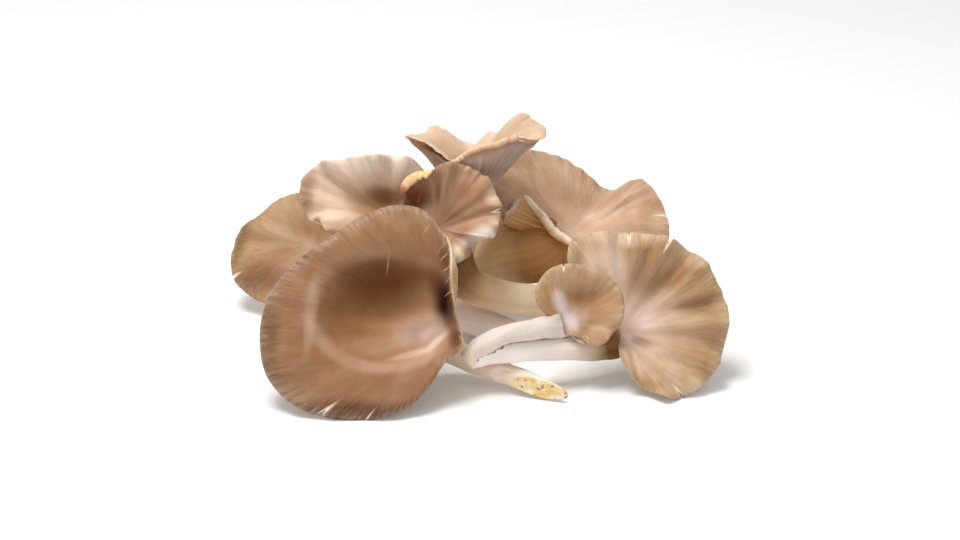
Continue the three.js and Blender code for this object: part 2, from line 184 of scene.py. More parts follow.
def stemCircles(cap, turnToWorld, shares):
    normal = turnToWorld @ Vector((0, 0, 1))
    across = turnToWorld @ Vector((1, 0, 0))
    over = turnToWorld @ Vector((0, 1, 0))
    heading = -normal
    spans = len(cap["stem"]) - 1

    def at(u):
        return catmullRom(cap["stem"], np.array([min(max(u, 0), 0.9999) * spans]), False)[0]

    circles = []
    for u in shares:
        here = at(u)
        ahead = Vector(at(u + 0.02)[:3] - at(u - 0.02)[:3]).normalized()
        swing = heading.rotation_difference(ahead)
        across.rotate(swing)
        over.rotate(swing)
        heading = ahead
        circles.append((here[:3], here[3], np.array(across), np.array(over), np.array(ahead)))
    return circles


# rings of the mesh, as shares of the way out to the margin, and from there to the foot
nearMargin = [0.945, 0.96, 0.973, 0.985, 0.994]
topShares = np.concatenate([np.linspace(0.05, 0.7, 14), np.linspace(0.745, 0.925, 7), nearMargin])
underShares = np.concatenate([[0.006, 0.02, 0.04], np.linspace(0.065, 0.6, 24)])
stemShares = np.concatenate([np.linspace(0.625, 0.97, 22), [0.985, 0.995, 1.0]])
cutShares = [0.9, 0.66, 0.33]  # rings inward over the cut foot
# over the edge: share of its thickness, inset in mm, place along the flow
edgeRings = [(0.12, 0.3, -0.002), (0.35, 0.06, 0.0), (0.62, 0.0, 0.001), (0.86, 0.2, 0.003)]


def gillRidges(cap, rows, q):
    # long gills all the way down, and short ones between them near the margin
    bend = 0.0035 * wobble(rows["share"], 5, 30, cap["seed"] + 5)
    phase = 2 * math.pi * cap["gills"] * (rows["share"] + bend)
    longOnes = (0.5 + 0.5 * np.cos(phase)) ** 2.2
    shortOnes = (0.5 - 0.5 * np.cos(phase)) ** 2.6 * (1 - ramp(0.2, 0.34, q))
    return np.maximum(longOnes, 0.8 * shortOnes)


def mushroomPoints(cap):
    rows = marginRows(cap)
    columns = cap["columns"]
    share = rows["share"]
    tilt = Matrix.Rotation(math.radians(cap["tilt"]), 3, "X")
    turnToWorld = Matrix.Rotation(math.radians(cap["turn"]), 3, "Z") @ tilt
    turnArray = np.array(turnToWorld)
    middle = np.array([cap["place"][0] - heapMiddle[0], cap["place"][1] - heapMiddle[1], cap["height"]])

    def toWorld(points):
        return points @ turnArray.T + middle

    nextX, nextY = np.roll(rows["x"], -1), np.roll(rows["y"], -1)
    step = np.arctan2(rows["x"] * nextY - rows["y"] * nextX, rows["x"] * nextX + rows["y"] * nextY)
    step = np.maximum(step, 0.36 / columns) + 2 * math.pi / columns
    turned = np.concatenate([[0], np.cumsum(step)[:-1]]) / step.sum()
    angle = math.atan2(rows["y"][0], rows["x"][0]) + 2 * math.pi * turned

    rings, along, gillShadeMask, plan = [], [], [], []

    # depth is how much painted shade falls between two gills at each ring
    def addRing(points, place, depth=0.0, local=None):
        rings.append(points)
        along.append(np.full(columns, place))
        gillShadeMask.append(np.full(columns, depth) if np.isscalar(depth) else depth)
        plan.append(plan[-1] if local is None else local[:, :2] / 10)

    pole = skinPoints(cap, rows, [0.0])[0]
    addRing(toWorld(pole), -1.0, 0.0, pole)
    for t, points in zip(topShares, skinPoints(cap, rows, topShares)):
        addRing(toWorld(points), t - 1, 0.0, points)
    edge, facing = facingAt(cap, rows, [1.0])
    edge, facing = edge[0], facing[0]
    inner = skinPoints(cap, rows, [0.97])[0]
    outward = edge - inner
    outward /= np.maximum(np.linalg.norm(outward, axis=-1, keepdims=True), 1e-9)
    thin = flesh["marginThickness"]
    for down, inset, place in edgeRings:
        addRing(toWorld(edge - facing * thin * down - outward * inset), place)

    downShares = np.concatenate([underShares, stemShares])
    stemPlace = np.maximum(0, (downShares - flesh["stemBegins"]) / (1 - flesh["stemBegins"])) ** 1.3
    circles = stemCircles(cap, turnToWorld, stemPlace)
    t = np.maximum(0.1, 1 - 0.9 * downShares / flesh["capEnds"])
    roofs = skinPoints(cap, rows, t)
    facing = facingAt(cap, rows, np.maximum(t, 0.15))[1]
    longSide = np.clip(rows["reach"] / flesh["fullSizeReach"], 0, 1)
    shortSide = longSide * (1 - 0.7 * np.clip(rows["roll"] / 4, 0, 1))
    slant, slantAngle = cap.get("slant", (0.0, 0.0))  # most feet are cut straight
    cutRings = []
    for k, q in enumerate(downShares):
        fade = ramp(0.03, 0.2, q) * (1 - ramp(flesh["gillsFadeFrom"], flesh["gillsFadeTo"], q))
        height = gillRidges(cap, rows, q) * fade
        gill = flesh["gillDepth"] * shortSide * height
        # how much painted shade falls between two gills
        gillShade = (1 - gillRidges(cap, rows, q)) * fade * shortSide
        thick = flesh["centreThickness"] * (0.5 + 0.5 * longSide)
        thickness = thick + (flesh["marginThickness"] - thick) * min(1, t[k]) ** 0.7
        fromCap = toWorld(roofs[k] - facing[k] * (thickness + gill)[:, None])
        centre, radius, across, over, ahead = circles[k]
        centre = centre - np.array([*heapMiddle, 0]) + np.array([*cap["place"], 0])
        u = stemPlace[k]
        grain = rough["grain"] * wobble(angle / (2 * math.pi), 9, 30, cap["seed"] + 6, u * 2.0)
        lump = rough["lumps"] * wobble(angle / (2 * math.pi), 1, 5, cap["seed"] + 7, u * 5.0)
        endRound = 1 - flesh["endRounding"] * ramp(0.985, 1.0, q)
        wide = radius * endRound + gill * 0.5 + (grain + lump) * ramp(0.5, 0.7, q)
        outward = np.cos(angle)[:, None] * across + np.sin(angle)[:, None] * over
        fromStem = centre + wide[:, None] * outward
        blend = ramp(flesh["blendFrom"], flesh["blendTo"], q)
        back = slant * (0.5 + 0.5 * np.cos(angle - slantAngle)) * ramp(0.8, 1, q)
        fromStem = fromStem - back[:, None] * ahead
        addRing(fromCap + (fromStem - fromCap) * blend, q, gillShade, roofs[k])
        if k == len(downShares) - 1:
            rim = fromStem
            core = rim.mean(axis=0)
            for f in cutShares:
                bumps = rough["cut"] * wobble(share, 4, 22, cap["seed"] + int(100 * f)) * (1 - f * 0.5)
                cutRings.append(core + (rim - core) * f + ahead * bumps[:, None])
            cutRings.append(np.repeat((core + ahead * 0.1)[None], columns, 0))
    for f, ring in zip([*cutShares, 0.0], cutRings):
        addRing(ring, 2 - f)
    points = np.stack(rings)
    points = np.clip(points, boxLow, boxHigh)
    nearCut = np.clip(rows["cut"] / 2.5, 0, 1)
    return points, np.stack(along), np.stack(gillShadeMask), np.stack(plan), share, nearCut


mergeDistance = 1e-7  # in metres, for the seam and the poles


def growMushroom(name, cap, skin, under, foot):
    points, along, gillShadeMask, plan, share, nearCut = mushroomPoints(cap)
    ringCount, columns = along.shape
    mesh = bpy.data.meshes.new(name)
    bm = bmesh.new()
    bmesh.ops.create_grid(bm, x_segments=columns, y_segments=ringCount - 1, size=1.0)
    bm.verts.ensure_lookup_table()
    corner = np.array([v.co[:2] for v in bm.verts])
    column = np.rint((corner[:, 0] + 1) / 2 * columns).astype(int) % columns
    ring = np.rint((1 - corner[:, 1]) / 2 * (ringCount - 1)).astype(int)
    bm.to_mesh(mesh)
    bm.free()
    place = points[ring, column] / 1000
    mesh.vertices.foreach_set("co", place.astype(np.float32).ravel())
    # flow: round the cap as cosine and sine, then -1 at its centre, 0 at its margin and 1 at the foot
    flow = mesh.attributes.new("flow", "FLOAT_VECTOR", "POINT")
    turn = 2 * math.pi * share[column]
    flowPlaces = np.stack([np.cos(turn), np.sin(turn), along[ring, column]], -1)
    flow.data.foreach_set("vector", flowPlaces.astype(np.float32).ravel())
    # the amount of painted shade between two gills, kept for the gill materials
    depth = mesh.attributes.new("gillShadeMask", "FLOAT", "POINT")  # between two gills
    depth.data.foreach_set("value", gillShadeMask[ring, column].astype(np.float32))
    # plan: right and up in the cap's own plane, in centimetres
    flat = mesh.attributes.new("plan", "FLOAT_VECTOR", "POINT")
    flatPlaces = np.concatenate([plan[ring, column], np.zeros((len(ring), 1))], -1)
    flat.data.foreach_set("vector", flatPlaces.astype(np.float32).ravel())
    torn = mesh.attributes.new("torn", "FLOAT", "POINT")  # beside a split
    tornPlaces = nearCut[column] * ramp(0.75, 1, 1 - np.abs(along[ring, column]))
    torn.data.foreach_set("value", tornPlaces.astype(np.float32))
    for material in (skin, under, foot):
        mesh.materials.append(material)
    bm = bmesh.new()
    bm.from_mesh(mesh)
    flowLayer = bm.verts.layers.float_vector["flow"]
    for face in bm.faces:
        place = sum(v[flowLayer].z for v in face.verts) / len(face.verts)
        face.material_index = 0 if place < 0.0005 else 1 if place < 1.0 else 2
        face.smooth = True
    bmesh.ops.remove_doubles(bm, verts=bm.verts, dist=mergeDistance)
    bmesh.ops.dissolve_degenerate(bm, edges=bm.edges, dist=mergeDistance)
    bmesh.ops.recalc_face_normals(bm, faces=bm.faces)
    bm.to_mesh(mesh)
    bm.free()
    piece = bpy.data.objects.new(name, mesh)
    bpy.context.scene.collection.objects.link(piece)
    print(name, "grown:", len(mesh.polygons), "faces")
    return piece


def addMushroom(cadNode, cap, skin, under, foot):
    piece = growMushroom(cadNode + "_flesh", cap, skin, under, foot)
    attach(piece, "root")
    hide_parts(cadNode)


def node(tree, kind, place, **values):
    made = tree.nodes.new(kind)
    made.location = place
    for key, value in values.items():
        if key.startswith("in_"):
            made.inputs[int(key[3:]) if key[3:].isdigit() else key[3:]].default_value = value
        else:
            setattr(made, key, value)
    return made


def colourRamp(tree, place, stops):
    made = node(tree, "ShaderNodeValToRGB", place)
    elements = made.color_ramp.elements
    while len(elements) > 1:
        elements.remove(elements[-1])
    for k, (position, colour) in enumerate(stops):
        stop = elements[0] if k == 0 else elements.new(position)
        stop.position = position
        stop.color = (*colour, 1)
    return made


def mixColour(tree, place, blend, factor, first, second):
    made = node(tree, "ShaderNodeMix", place, data_type="RGBA", blend_type=blend)
    for socket, value in ((0, factor), (6, first), (7, second)):
        if isinstance(value, (float, int)):
            made.inputs[socket].default_value = value
        elif isinstance(value, tuple):
            made.inputs[socket].default_value = (*value, 1)
        else:
            tree.links.new(value, made.inputs[socket])
    return made.outputs[2]


def newMaterial(name):
    material = bpy.data.materials.new(name)
    material.use_nodes = True
    tree = material.node_tree
    shader = tree.nodes["Principled BSDF"]
    shader.location = (900, 0)
    tree.nodes["Material Output"].location = (1200, 0)
    return material, tree, shader


def flowCoordinates(tree, around, along):
    # a pattern drawn out from the centre of the cap to the margin and down the stem
    flow = node(tree, "ShaderNodeAttribute", (-1500, 300), attribute_name="flow")
    pull = (around, around, along)
    stretch = node(tree, "ShaderNodeVectorMath", (-1250, 300), operation="MULTIPLY", in_1=pull)
    tree.links.new(flow.outputs["Vector"], stretch.inputs[0])
    return stretch.outputs[0]


def streaks(tree, place, around, along, detail, low, high, bend=0.0):
    noise = node(tree, "ShaderNodeTexNoise", place, in_Scale=1.0, in_Detail=detail, in_Distortion=bend)
    tree.links.new(flowCoordinates(tree, around, along), noise.inputs["Vector"])
    spread = node(tree, "ShaderNodeMapRange", (place[0] + 200, place[1]))
    spread.inputs["From Min"].default_value = low
    spread.inputs["From Max"].default_value = high
    tree.links.new(noise.outputs["Fac"], spread.inputs["Value"])
    return spread.outputs["Result"]


def mottle(tree, place, scale, detail, low, high):
    objectPlace = node(tree, "ShaderNodeTexCoord", (place[0] - 200, place[1]))
    noise = node(tree, "ShaderNodeTexNoise", place, in_Scale=scale, in_Detail=detail)
    tree.links.new(objectPlace.outputs["Object"], noise.inputs["Vector"])
    spread = node(tree, "ShaderNodeMapRange", (place[0] + 200, place[1]))
    spread.inputs["From Min"].default_value = low
    spread.inputs["From Max"].default_value = high
    tree.links.new(noise.outputs["Fac"], spread.inputs["Value"])
    return spread.outputs["Result"]


def flowPlace(tree, place, fromLow, fromHigh):
    flow = node(tree, "ShaderNodeAttribute", place, attribute_name="flow")
    parts = node(tree, "ShaderNodeSeparateXYZ", (place[0] + 180, place[1]))
    tree.links.new(flow.outputs["Vector"], parts.inputs[0])
    spread = node(tree, "ShaderNodeMapRange", (place[0] + 360, place[1]))
    spread.inputs["From Min"].default_value = fromLow
    spread.inputs["From Max"].default_value = fromHigh
    tree.links.new(parts.outputs["Z"], spread.inputs["Value"])
    return spread.outputs["Result"]


def times(tree, place, first, second):
    made = node(tree, "ShaderNodeMath", place, operation="MULTIPLY")
    for socket, value in enumerate((first, second)):
        if isinstance(value, (float, int)):
            made.inputs[socket].default_value = value
        else:
            tree.links.new(value, made.inputs[socket])
    return made.outputs[0]


washEdge = (1.5, 0.2)  # where a wash begins and is full, in half widths from its middle
ringEdge = (0.2, 0.0)


def addWashes(tree, colour, look, top):
    # soft patches and rings of colour, some the cap's own tones and some painted shade or painted
    # highlight: right, up and half widths in the cap's plane in mm, angle, colour, strength
    plan = node(tree, "ShaderNodeAttribute", (900, top), attribute_name="plan")
    rows = [(*row, True) for row in look.get("rings", [])]
    rows += [(*row, False) for row in look.get("washes", [])]
    for k, (right, up, wide, high, angle, tint, strength, isRing) in enumerate(rows):
        place = (1100 + 250 * k, top)
        spot = node(tree, "ShaderNodeMapping", place, vector_type="TEXTURE")
        spot.inputs["Location"].default_value = (right / 10, up / 10, 0)
        spot.inputs["Rotation"].default_value = (0, 0, math.radians(angle))
        spot.inputs["Scale"].default_value = (wide / 10, high / 10, 1)
        tree.links.new(plan.outputs["Vector"], spot.inputs["Vector"])
        far = node(tree, "ShaderNodeVectorMath", place, operation="LENGTH")
        tree.links.new(spot.outputs[0], far.inputs[0])
        away = far.outputs["Value"]
        if isRing:
            beside = node(tree, "ShaderNodeMath", place, operation="SUBTRACT", in_1=1.0)
            tree.links.new(away, beside.inputs[0])
            aside = node(tree, "ShaderNodeMath", place, operation="ABSOLUTE")
            tree.links.new(beside.outputs[0], aside.inputs[0])
            away = aside.outputs[0]
        mask = node(tree, "ShaderNodeMapRange", place, interpolation_type="SMOOTHERSTEP")
        begins, full = ringEdge if isRing else washEdge
        mask.inputs["From Min"].default_value = begins
        mask.inputs["From Max"].default_value = full
        mask.inputs["To Max"].default_value = strength
        tree.links.new(away, mask.inputs["Value"])
        colour = mixColour(tree, place, "MIX", mask.outputs["Result"], colour, tint)
    return colour


surface = {
    "bump": 0.5,
    "specular": 0.15,
    "scatterRadius": (1.0, 0.75, 0.5),  # for red, green and blue
    "scatterDepth": 0.0012,
}


def finishShader(tree, shader, colour, bumpHeight, bumpSize, roughness, scatter):
    tree.links.new(colour, shader.inputs["Base Color"])
    bump = node(tree, "ShaderNodeBump", (700, -300), in_Strength=surface["bump"], in_Distance=bumpSize)
    tree.links.new(bumpHeight, bump.inputs["Height"])
    tree.links.new(bump.outputs["Normal"], shader.inputs["Normal"])
    shader.inputs["Roughness"].default_value = roughness
    shader.inputs["Specular IOR Level"].default_value = surface["specular"]
    shader.inputs["Subsurface Weight"].default_value = scatter
    shader.inputs["Subsurface Radius"].default_value = surface["scatterRadius"]
    shader.inputs["Subsurface Scale"].default_value = surface["scatterDepth"]


strength = {
    "broad": 0.6,
    "medium": 0.3,
    "fine": 0.15,
    "ticks": 0.35,
    "clouds": 0.4,
    "stem": 0.3,
}
fibres = {  # how often round the cap and along it, detail, where they begin and are full, bend
    "broad": (3, 1.6, 3, 0.36, 0.66, 0.6),
    "medium": (11, 3.2, 4, 0.38, 0.7, 0.5),
    "fine": (44, 10, 4, 0.38, 0.66, 0.3),
    "ticks": (46, 11, 2, 0.64, 0.74),
    "stem": (14, 1.4, 3, 0.36, 0.68),
}


def makeSkin(name, look):
    material, tree, shader = newMaterial(name)
    along = flowPlace(tree, (-1500, 700), -1, 0)
    ground = colourRamp(tree, (-900, 700), look["ground"])
    tree.links.new(along, ground.inputs[0])
    outward = flowPlace(tree, (-1500, 1000), *look.get("streaksFrom", (-0.9, -0.2)))
    nearEdge = flowPlace(tree, (-1500, 1300), -0.3, 0.0)
    broad = streaks(tree, (-900, 300), *fibres["broad"])
    medium = streaks(tree, (-900, 100), *fibres["medium"])
    fine = streaks(tree, (-900, -100), *fibres["fine"])
    ticks = streaks(tree, (-900, -300), *fibres["ticks"])
    cloudy = mottle(tree, (-900, -500), 110, 5, 0.34, 0.68)
    colour = addWashes(tree, ground.outputs[0], look, 700)
    amount = look["streaks"]
    lowland = times(tree, (-300, 300), times(tree, (-500, 300), broad, outward), strength["broad"] * amount)
    colour = mixColour(tree, (-100, 500), "MIX", lowland, colour, look["dark"])
    bands = times(tree, (-300, 100), times(tree, (-500, 100), medium, outward), strength["medium"] * amount)
    colour = mixColour(tree, (100, 500), "MULTIPLY", bands, colour, look["tint"])
    hairs = times(tree, (-300, -100), times(tree, (-500, -100), fine, outward), strength["fine"] * amount)
    colour = mixColour(tree, (300, 500), "MIX", hairs, colour, look["pale"])
    marks = times(tree, (-300, -300), times(tree, (-500, -300), ticks, nearEdge), strength["ticks"])
    colour = mixColour(tree, (400, 500), "MIX", marks, colour, look["flesh"])
    warmth = times(tree, (300, 300), cloudy, strength["clouds"])
    colour = mixColour(tree, (500, 500), "MULTIPLY", warmth, colour, look["warm"])
    torn = node(tree, "ShaderNodeAttribute", (300, 900), attribute_name="torn")
    colour = mixColour(tree, (700, 600), "MIX", torn.outputs["Fac"], colour, look["flesh"])
    height = node(tree, "ShaderNodeMath", (500, -300), operation="ADD")
    tree.links.new(times(tree, (300, -300), medium, outward), height.inputs[0])
    tree.links.new(times(tree, (300, -400), fine, outward), height.inputs[1])
    finishShader(tree, shader, colour, height.outputs[0], 0.00009, 0.45, 0.12)
    return material


def makeUnder(name, look):
    material, tree, shader = newMaterial(name)
    along = flowPlace(tree, (-1500, 700), 0, 1)
    ground = colourRamp(tree, (-900, 700), look["ground"])
    tree.links.new(along, ground.inputs[0])
    threads = streaks(tree, (-900, 300), *fibres["stem"])
    cloudy = mottle(tree, (-900, 0), 60, 4, 0.35, 0.7)
    colour = addWashes(tree, ground.outputs[0], look, 700)
    light = times(tree, (-300, 300), threads, strength["stem"])
    colour = mixColour(tree, (0, 500), "MULTIPLY", light, colour, look["fibre"])
    clouds = times(tree, (-300, 0), cloudy, strength["clouds"])
    colour = mixColour(tree, (200, 500), "MULTIPLY", clouds, colour, look["stain"])
    # painted shade between the gills: the gill shade colour is multiplied in where the mask marks the space
    # between two gills, fading out down the stem
    gillShadeMask = node(tree, "ShaderNodeAttribute", (-200, 900), attribute_name="gillShadeMask")
    gill = flowPlace(tree, (-200, 1100), 0.66, 0.45)
    between = times(tree, (100, 900), gillShadeMask.outputs["Fac"], gill)
    gillShadeAmount = times(tree, (300, 900), between, look.get("gillShadeStrength", 0.7))
    colour = mixColour(tree, (600, 500), "MULTIPLY", gillShadeAmount, colour, look["gillShade"])
    finishShader(tree, shader, colour, threads, 0.00008, 0.42, 0.15)
    return material


def makeFoot(name, look):
    material, tree, shader = newMaterial(name)
    specks = mottle(tree, (-900, 300), 560, 2, 0.6, 0.72)
    patches = mottle(tree, (-900, 0), 160, 3, 0.38, 0.62)
    colour = mixColour(tree, (-200, 500), "MIX", patches, look["pale"], look["stain"])
    colour = mixColour(tree, (0, 500), "MIX", specks, colour, look["speck"])
    finishShader(tree, shader, colour, specks, 0.0004, 0.7, 0.15)
    return material


def srgb(red, green, blue):
    # a colour as a picture shows it, from 0 to 255, made linear
    shades = [shade / 255 for shade in (red, green, blue)]
    return tuple(s / 12.92 if s <= 0.04045 else ((s + 0.055) / 1.055) ** 2.4 for s in shades)


creamFlesh = {
    "ground": [
        (0.0, srgb(236, 210, 176)), (0.12, srgb(226, 194, 154)), (0.4, srgb(234, 210, 176)),
        (0.62, srgb(240, 220, 190)), (1.0, srgb(234, 214, 182)),
    ],
    "fibre": srgb(216, 190, 156),
    "stain": srgb(228, 194, 152),
    "gillShade": srgb(180, 132, 88),
}
oliveFlesh = {
    "ground": [
        # near white at 0 and 0.07: the pale lip raised as painted highlight; darker from 0.5 to 0.66, at
        # the neck under the cap: painted shade
        (0.0, srgb(255, 240, 222)), (0.07, srgb(255, 238, 218)), (0.12, srgb(232, 192, 146)),
        (0.3, srgb(218, 174, 122)), (0.5, srgb(196, 148, 96)), (0.6, srgb(182, 136, 86)),
        (0.66, srgb(186, 142, 94)), (0.71, srgb(230, 198, 152)), (0.76, srgb(252, 238, 206)),
        (1.0, srgb(240, 226, 196)),
    ],
    "fibre": srgb(222, 196, 160),
    "stain": srgb(222, 194, 150),
    "gillShade": srgb(204, 160, 112),
}
whiteFlesh = {
    "ground": [
        (0.0, srgb(226, 190, 146)), (0.2, srgb(232, 206, 172)), (0.45, srgb(218, 204, 192)),
        (0.65, srgb(216, 207, 199)), (0.93, srgb(224, 214, 206)), (1.0, srgb(232, 216, 184)),
    ],
    "fibre": srgb(232, 220, 208),
    "stain": srgb(240, 226, 210),
    "gillShade": srgb(200, 160, 120),
}
shadedFlesh = {
    **whiteFlesh,
    "ground": [
        # the brown from 0.5 to 0.64, where the stem meets the caps, is painted shade
        (0.0, srgb(226, 190, 146)), (0.2, srgb(212, 176, 132)), (0.5, srgb(140, 98, 56)),
        (0.64, srgb(128, 88, 46)), (0.7, srgb(200, 178, 154)), (0.77, srgb(240, 230, 222)),
        (0.93, srgb(248, 242, 238)), (1.0, srgb(232, 216, 184)),
    ],
}
paleFlesh = {
    "ground": [
        (0.0, srgb(196, 158, 116)), (0.12, srgb(184, 144, 102)), (0.45, srgb(214, 188, 158)),
        (0.66, srgb(230, 214, 200)), (1.0, srgb(240, 226, 210)),
    ],
    "fibre": srgb(224, 204, 182),
    "stain": srgb(230, 208, 184),
    "gillShade": srgb(176, 128, 84),
    "washes": [
        (5, 31, 7, 9, 0, srgb(246, 226, 190), 0.9),
        (5, 16, 6, 9, 0, srgb(214, 180, 136), 0.8),
    ],
}
roseFlesh = {
    "ground": [
        # the dark band at 0.08, just under the lip: painted shadow
        (0.0, srgb(240, 214, 186)), (0.03, srgb(230, 198, 166)), (0.08, srgb(176, 136, 106)),
        (0.18, srgb(212, 188, 174)), (0.45, srgb(222, 202, 190)), (0.62, srgb(240, 220, 190)),
        (1.0, srgb(234, 214, 182)),
    ],
    "fibre": srgb(214, 190, 170),
    "stain": srgb(222, 196, 172),
    "gillShade": srgb(96, 58, 38),
    "gillShadeStrength": 1.0,
    "washes": [
        # the next two: painted shadow under the front-left lip
        (-20, -4, 9, 5, -25, srgb(170, 122, 80), 0.85),
        (-15, -6, 8, 1.8, -31, srgb(104, 48, 22), 0.9),
    ],
}
goldenFlesh = {
    **creamFlesh,
    "ground": [
        # dark from 0.56 to 0.64, at the stem's neck under the cap: painted shade
        (0.0, srgb(236, 210, 176)), (0.12, srgb(226, 194, 154)), (0.4, srgb(206, 172, 132)),
        (0.56, srgb(148, 108, 72)), (0.64, srgb(158, 118, 80)), (0.71, srgb(224, 198, 156)),
        (0.78, srgb(242, 224, 194)), (1.0, srgb(234, 214, 182)),
    ],
    "washes": [
        (-8, 22.5, 8, 4, 0, srgb(242, 200, 142), 0.85),
        # a dark red tip where the margin rolls in: painted shade
        (-15.5, 16, 3, 3.5, 0, srgb(150, 62, 20), 0.85),
    ],
}
lilacFlesh = {
    **creamFlesh,
    "ground": [
        (0.0, srgb(236, 210, 176)), (0.4, srgb(234, 210, 176)), (0.7, srgb(250, 234, 222)),
        (1.0, srgb(255, 246, 242)),
    ],
    "stain": srgb(240, 222, 206),
    "fibre": srgb(230, 210, 194),
}
yellowFoot = {"pale": srgb(236, 224, 194), "stain": srgb(226, 190, 118), "speck": srgb(128, 86, 46)}
paleFoot = {"pale": srgb(255, 246, 224), "stain": srgb(244, 222, 184), "speck": srgb(206, 172, 128)}

creamUnder = makeUnder("cream gills and stem", creamFlesh)
oliveUnder = makeUnder("olive gills and stem", oliveFlesh)
roseUnder = makeUnder("ridged gills and stem", roseFlesh)
goldenUnder = makeUnder("golden gills and stem", goldenFlesh)
lilacUnder = makeUnder("lilac-white gills and stem", lilacFlesh)
paleUnder = makeUnder("pale gills and stem", paleFlesh)
whiteUnder = makeUnder("white gills and stem", whiteFlesh)
shadedUnder = makeUnder("white stem, painted shade at its neck", shadedFlesh)
freshFoot = makeFoot("fresh cut foot", paleFoot)
agedFoot = makeFoot("yellowed cut foot", yellowFoot)
print("gill, stem and foot materials made")

# margin: the cap from above, anticlockwise, as right, up, towards the eye, downward curl, roll of the edge
# splits: share of the way round, depth, half width
# swells: right, up, half length, half width, angle, lift, steepness
# stem: x and y from place, z from the table, radius

largeFront = {
    "place": (-16, -47), "height": 34, "turn": 0, "tilt": 60, "crown": -3, "folds": (0.6, 9, 0),
    "margin": [
        (5.5, 3, 6, 0), (4.5, 9, 12, 0), (3, 17, 14, 0), (2.7, 25, 13, 0), (2.8, 31, 11, -2),
        (1.5, 37, 9, -2), (-1.5, 42, 7, 3), (-5, 48, 5, 8), (-13, 52, 3, 11), (-24, 52, 2, 13),
        (-37, 47, 1, 15), (-50, 38, 0, 16), (-64, 28, -1, 17), (-74, 16, -1, 18), (-79, 2, -1, 18),
        (-79, -12, -1, 17), (-75, -24, 0, 15), (-65, -34, 1, 13), (-52, -39, 1, 12), (-38, -41, 1, 12),
        (-24, -39, 1, 11), (-12, -33, 2, 9), (-5, -25, 2, 6), (-0.5, -18, 2, 3), (4, -13.5, 3, 0),
        (7.5, -8.5, 4, -2), (7.5, -3, 4.5, -1),
    ],
    "swells": [
        (-25, 3, 31, 18, 5, -10, 4), (-20, 20, 24, 16, 0, -7, 2), (-58, 6, 6, 22, -8, 2.5, 2),
        (-10, -9.5, 13, 2.5, 30, 1.6, 2),
    ],
    "splits": [(0.7, 9, 1.3), (0.77, 5, 0.7)],
    "stem": [(-6, 8, 29, 8), (-2, 14, 20, 7), (9, 15, 11.5, 5.6), (32, 3, 7.4, 4.9), (52, -11, 4.4, 4.5)],
    "columns": 720, "gills": 90, "frill": 0.35, "ribs": 0.025, "ragged": 0.3, "seed": 11,
    "slant": (24, -1.2),  # of the cut through its foot: how far back, and at which angle
}
largeSkin = makeSkin("large cap skin", {
    "streaksFrom": (-0.6, -0.1),
    # a pale ring on the crest round the dish: painted highlight
    "rings": [(-26, 7, 31.5, 25, 0, srgb(200, 168, 142), 0.45)],
    "washes": [
        (-22, 38, 28, 8, -4, srgb(164, 124, 90), 0.9),
        (-40, 31, 14, 4, 28, srgb(160, 120, 86), 0.7),
        # the next two darken the dish: partly its darker brown centre, partly painted shade on the dish's
        # down-facing upper wall
        (-29, 22, 22, 9, 4, srgb(92, 46, 14), 0.8),
        (-26, 11, 22, 9, 0, srgb(108, 64, 30), 0.6),
        # the next three: painted shade on the steep wall right of the dish
        (-13, 27, 10, 6, -30, srgb(124, 80, 48), 0.45),
        (-3, 20, 4.5, 8, 14, srgb(104, 58, 28), 0.7),
        (1.5, 10, 6.5, 12, 2, srgb(44, 12, 2), 1.0),
        (1, 30, 3, 7, 0, srgb(96, 56, 30), 0.6),
        (-9, -2, 13, 6.5, 16, srgb(164, 138, 126), 0.9),
        (-5, -3, 6, 3.5, 20, srgb(196, 172, 158), 0.6),
        (-32, -8, 15, 5, 0, srgb(170, 136, 110), 0.6),
        (6, -6, 4, 6, 10, srgb(88, 50, 28), 0.85),
        # the next three: painted highlight along the lower crest and the left ridge
        (-3, -6.5, 6, 1.6, 42, srgb(232, 214, 200), 0.6),
        (-14, -12, 10, 1.8, 14, srgb(220, 196, 174), 0.55),
        (-57, 4, 2.6, 18, -6, srgb(210, 180, 156), 0.5),
        (-40, -23, 22, 3, -10, srgb(150, 112, 84), 0.5),
        (-22, -26, 20, 5, 8, srgb(146, 108, 78), 0.6),
        (-60, -24, 20, 9, -35, srgb(146, 110, 82), 0.6),
        # the next two: painted shade where the bottom and left margins turn down
        (-40, -38, 32, 6, 0, srgb(76, 38, 14), 0.8),
        (-77, -5, 6, 30, 0, srgb(108, 72, 44), 0.75),
        (-24, 28, 0.4, 5, -6, srgb(206, 170, 130), 0.5),
        (0.5, 30, 0.35, 2.6, -48, srgb(236, 216, 194), 0.65),
        (-0.5, 34, 0.3, 3.4, -42, srgb(226, 202, 174), 0.5),
        (1.8, 25, 0.35, 2, -60, srgb(240, 222, 202), 0.7),
        (2.2, 20, 0.3, 1.6, -52, srgb(236, 214, 190), 0.6),
        (2.2, 14, 0.4, 1.8, -74, srgb(226, 202, 176), 0.6),
        (-7, 42, 0.3, 3, -38, srgb(226, 200, 170), 0.5),
        (-21, 45, 18, 5, 0, srgb(180, 142, 108), 0.4),
    ],
    "ground": [
        # darker towards the margin, from 0.9 to 0.985: painted shade where the margin turns under
        (0.0, srgb(200, 168, 140)), (0.2, srgb(180, 140, 104)), (0.42, srgb(142, 100, 64)),
        (0.62, srgb(152, 112, 78)), (0.76, srgb(156, 118, 86)), (0.9, srgb(136, 98, 66)),
        (0.985, srgb(118, 78, 44)), (1.0, srgb(180, 142, 98)),
    ],
    "dark": srgb(112, 70, 36), "tint": srgb(172, 130, 92),
    "pale": srgb(208, 178, 146), "warm": srgb(222, 190, 154),
    "flesh": srgb(236, 222, 204), "streaks": 0.9,
})
addMushroom("large_front_mushroom", largeFront, largeSkin, paleUnder, agedFoot)

